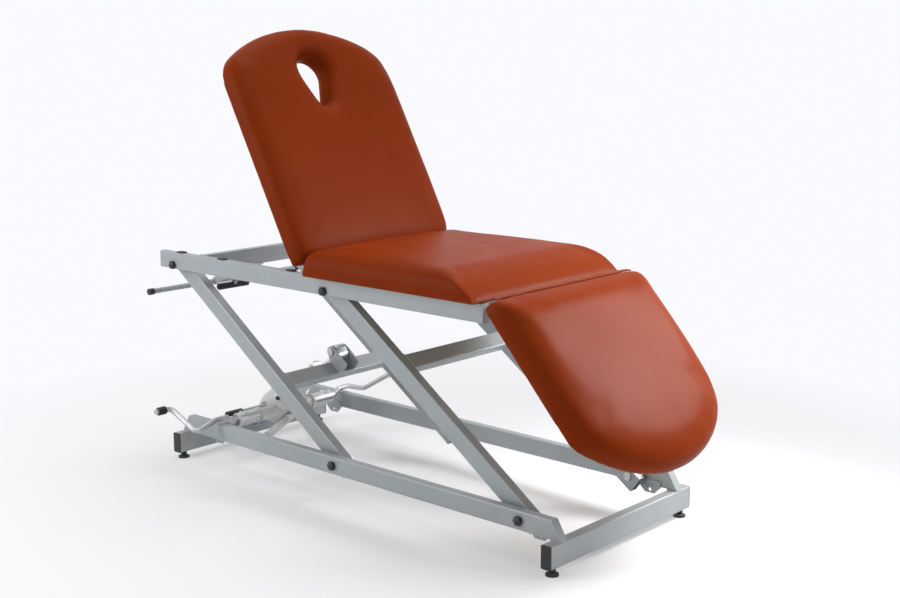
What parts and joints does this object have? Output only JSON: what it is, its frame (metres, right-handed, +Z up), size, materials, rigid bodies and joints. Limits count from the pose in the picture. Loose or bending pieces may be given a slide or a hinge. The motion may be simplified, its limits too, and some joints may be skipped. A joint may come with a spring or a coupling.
{
  "type": "hydraulic examination table",
  "caption": "Padded examination couch on a parallelogram lift with a foot-pumped hydraulic cylinder, tilting backrest with face hole and folding leg section.",
  "frame": {"origin": "on the floor, below the middle of the whole object at rest", "axes": "+X from the head end to the foot end, +Y across to the far side, +Z up"},
  "size_m": [1.7318, 0.826, 1.2741],
  "materials": {
    "frame_paint": "satin silver grey paint",
    "black_plastic": "matte black",
    "bolt_steel": "zinc plated",
    "rubber": "matte black",
    "vinyl": "rust orange coated fabric, semi gloss",
    "board": "plywood",
    "pump_paint": "light grey paint",
    "chrome_rod": "polished",
    "strut_black": "black paint",
    "pedal_metal": "light metallic grey"
  },
  "bodies": {
    "base": {"base_head_tube": "frame_paint", "base_foot_tube": "frame_paint", "base_end_caps": "black_plastic", "base_rail_near": "frame_paint", "base_rail_far": "frame_paint", "base_pivot_bolts": "bolt_steel", "base_cap_nuts": "black_plastic", "base_pivot_spacers": "black_plastic", "pump_bracket": "frame_paint"},
    "foot_1": {"levelling_foot_1": "black_plastic"},
    "foot_2": {"levelling_foot_2": "black_plastic"},
    "foot_3": {"levelling_foot_3": "black_plastic"},
    "foot_4": {"levelling_foot_4": "black_plastic"},
    "head_arms": {"head_arm_near": "frame_paint", "head_arm_far": "frame_paint", "head_arm_tube": "frame_paint", "lift_lugs": "frame_paint", "lift_pin": "bolt_steel"},
    "foot_arms": {"foot_arm_near": "frame_paint", "foot_arm_far": "frame_paint", "foot_arm_tube": "frame_paint"},
    "upper_frame": {"top_rail_near": "frame_paint", "top_rail_far": "frame_paint", "top_cross_tubes": "frame_paint", "rail_buffers": "rubber", "top_pivot_bolts": "bolt_steel", "top_cap_nuts": "black_plastic", "top_pivot_spacers": "black_plastic", "hinge_ears": "frame_paint", "frame_brackets": "frame_paint", "frame_pins": "bolt_steel", "seat_board": "board", "seat_cushion": "vinyl", "roll_bar": "frame_paint", "roll_bar_caps": "black_plastic"},
    "backrest": {"back_hinge_frame": "frame_paint", "back_board": "board", "back_cushion": "vinyl"},
    "back_tube": {"back_strut_tube": "strut_black"},
    "back_rod": {"back_strut_rod": "chrome_rod"},
    "leg_section": {"leg_hinge_frame": "frame_paint", "leg_board": "board", "leg_cushion": "vinyl", "leg_flap": "vinyl"},
    "leg_tube": {"leg_strut_tube": "strut_black"},
    "leg_rod": {"leg_strut_rod": "chrome_rod"},
    "lift_cylinder": {"pump_casing": "pump_paint", "lift_barrel": "pump_paint", "barrel_gland": "strut_black", "pump_link": "strut_black"},
    "lift_piston": {"lift_rod": "chrome_rod"},
    "pump_pedals": {"pump_shaft": "bolt_steel", "shaft_clamps": "pedal_metal", "pedal_near": "pedal_metal", "pedal_far": "pedal_metal", "pedal_grips": "rubber"},
    "release_pedal": {"release_pad": "black_plastic", "release_stem": "bolt_steel"},
    "back_release": {"handle_arm": "frame_paint", "handle_grip": "black_plastic"}
  },
  "joints": [
    {"name": "foot_1_turn", "type": "hinge", "parent": "base", "child": "foot_1", "pos_m": [-0.74539, -0.275, 0.02], "axis": [0, 0, 1], "continuous": true},
    {"name": "foot_2_turn", "type": "hinge", "parent": "base", "child": "foot_2", "pos_m": [-0.74539, 0.275, 0.02], "axis": [0, 0, 1], "continuous": true},
    {"name": "foot_3_turn", "type": "hinge", "parent": "base", "child": "foot_3", "pos_m": [0.66961, -0.275, 0.02], "axis": [0, 0, 1], "continuous": true},
    {"name": "foot_4_turn", "type": "hinge", "parent": "base", "child": "foot_4", "pos_m": [0.66961, 0.275, 0.02], "axis": [0, 0, 1], "continuous": true},
    {"name": "lift", "type": "hinge", "parent": "base", "child": "head_arms", "pos_m": [-0.10039, 0, 0.105], "axis": [0, 1, 0], "range_deg": [-13, 20]},
    {"name": "foot_arms_turn", "type": "hinge", "parent": "base", "child": "foot_arms", "pos_m": [0.55561, 0, 0.105], "axis": [0, 1, 0], "range_deg": [-13.01, 20.01]},
    {"name": "upper_frame_level", "type": "hinge", "parent": "head_arms", "child": "upper_frame", "pos_m": [-0.77839, 0, 0.587], "axis": [0, 1, 0], "range_deg": [-20.01, 13.01]},
    {"name": "backrest_tilt", "type": "hinge", "parent": "upper_frame", "child": "backrest", "pos_m": [-0.19739, 0, 0.622], "axis": [0, 1, 0], "range_deg": [-61.3, 8.7]},
    {"name": "back_tube_turn", "type": "hinge", "parent": "upper_frame", "child": "back_tube", "pos_m": [-0.07992, 0, 0.57925], "axis": [0, 1, 0], "range_deg": [-30.66, 4.36]},
    {"name": "back_rod_turn", "type": "hinge", "parent": "backrest", "child": "back_rod", "pos_m": [-0.30703, 0, 0.56197], "axis": [0, 1, 0], "range_deg": [-4.36, 30.66]},
    {"name": "leg_tilt", "type": "hinge", "parent": "upper_frame", "child": "leg_section", "pos_m": [0.46461, 0, 0.622], "axis": [0, 1, 0], "range_deg": [-48, 0]},
    {"name": "leg_tube_turn", "type": "hinge", "parent": "upper_frame", "child": "leg_tube", "pos_m": [0.32366, 0, 0.5707], "axis": [0, 1, 0], "range_deg": [-24.01, 0.01]},
    {"name": "leg_rod_turn", "type": "hinge", "parent": "leg_section", "child": "leg_rod", "pos_m": [0.5441, 0, 0.49479], "axis": [0, 1, 0], "range_deg": [-0.01, 24.01]},
    {"name": "cylinder_swing", "type": "hinge", "parent": "base", "child": "lift_cylinder", "pos_m": [-0.70039, 0.006, 0.078], "axis": [0, 1, 0], "range_deg": [-1.75, 1.14]},
    {"name": "piston_stroke", "type": "slide", "parent": "lift_cylinder", "child": "lift_piston", "axis": [0.8031, 0, 0.5958], "range_m": [-0.0775, 0.1192]},
    {"name": "pump_stroke", "type": "hinge", "parent": "lift_cylinder", "child": "pump_pedals", "pos_m": [-0.59239, 0, 0.126], "axis": [0, 1, 0], "range_deg": [-20, 20], "stiffness_Nm_per_rad": 40},
    {"name": "release_press", "type": "hinge", "parent": "lift_cylinder", "child": "release_pedal", "pos_m": [-0.64039, -0.053, 0.134], "axis": [0.8031, 0, 0.5958], "range_deg": [0, 8], "stiffness_Nm_per_rad": 20, "springref_deg": -8.59},
    {"name": "back_release_pull", "type": "hinge", "parent": "upper_frame", "child": "back_release", "pos_m": [-0.67039, -0.1, 0.562], "axis": [0, 1, 0], "range_deg": [0, 20], "stiffness_Nm_per_rad": 2, "springref_deg": -17.19}
  ],
  "couplings": [
    {"joint": "foot_arms_turn", "follows": "lift", "ratio": 1},
    {"joint": "upper_frame_level", "follows": "lift", "ratio": -1},
    {"joint": "cylinder_swing", "follows": "lift", "ratio": -0.087},
    {"joint": "piston_stroke", "follows": "lift", "m_per_rad": 0.3413},
    {"joint": "back_tube_turn", "follows": "backrest_tilt", "ratio": 0.5},
    {"joint": "back_rod_turn", "follows": "backrest_tilt", "ratio": -0.5},
    {"joint": "leg_tube_turn", "follows": "leg_tilt", "ratio": 0.5},
    {"joint": "leg_rod_turn", "follows": "leg_tilt", "ratio": -0.5}
  ]
}
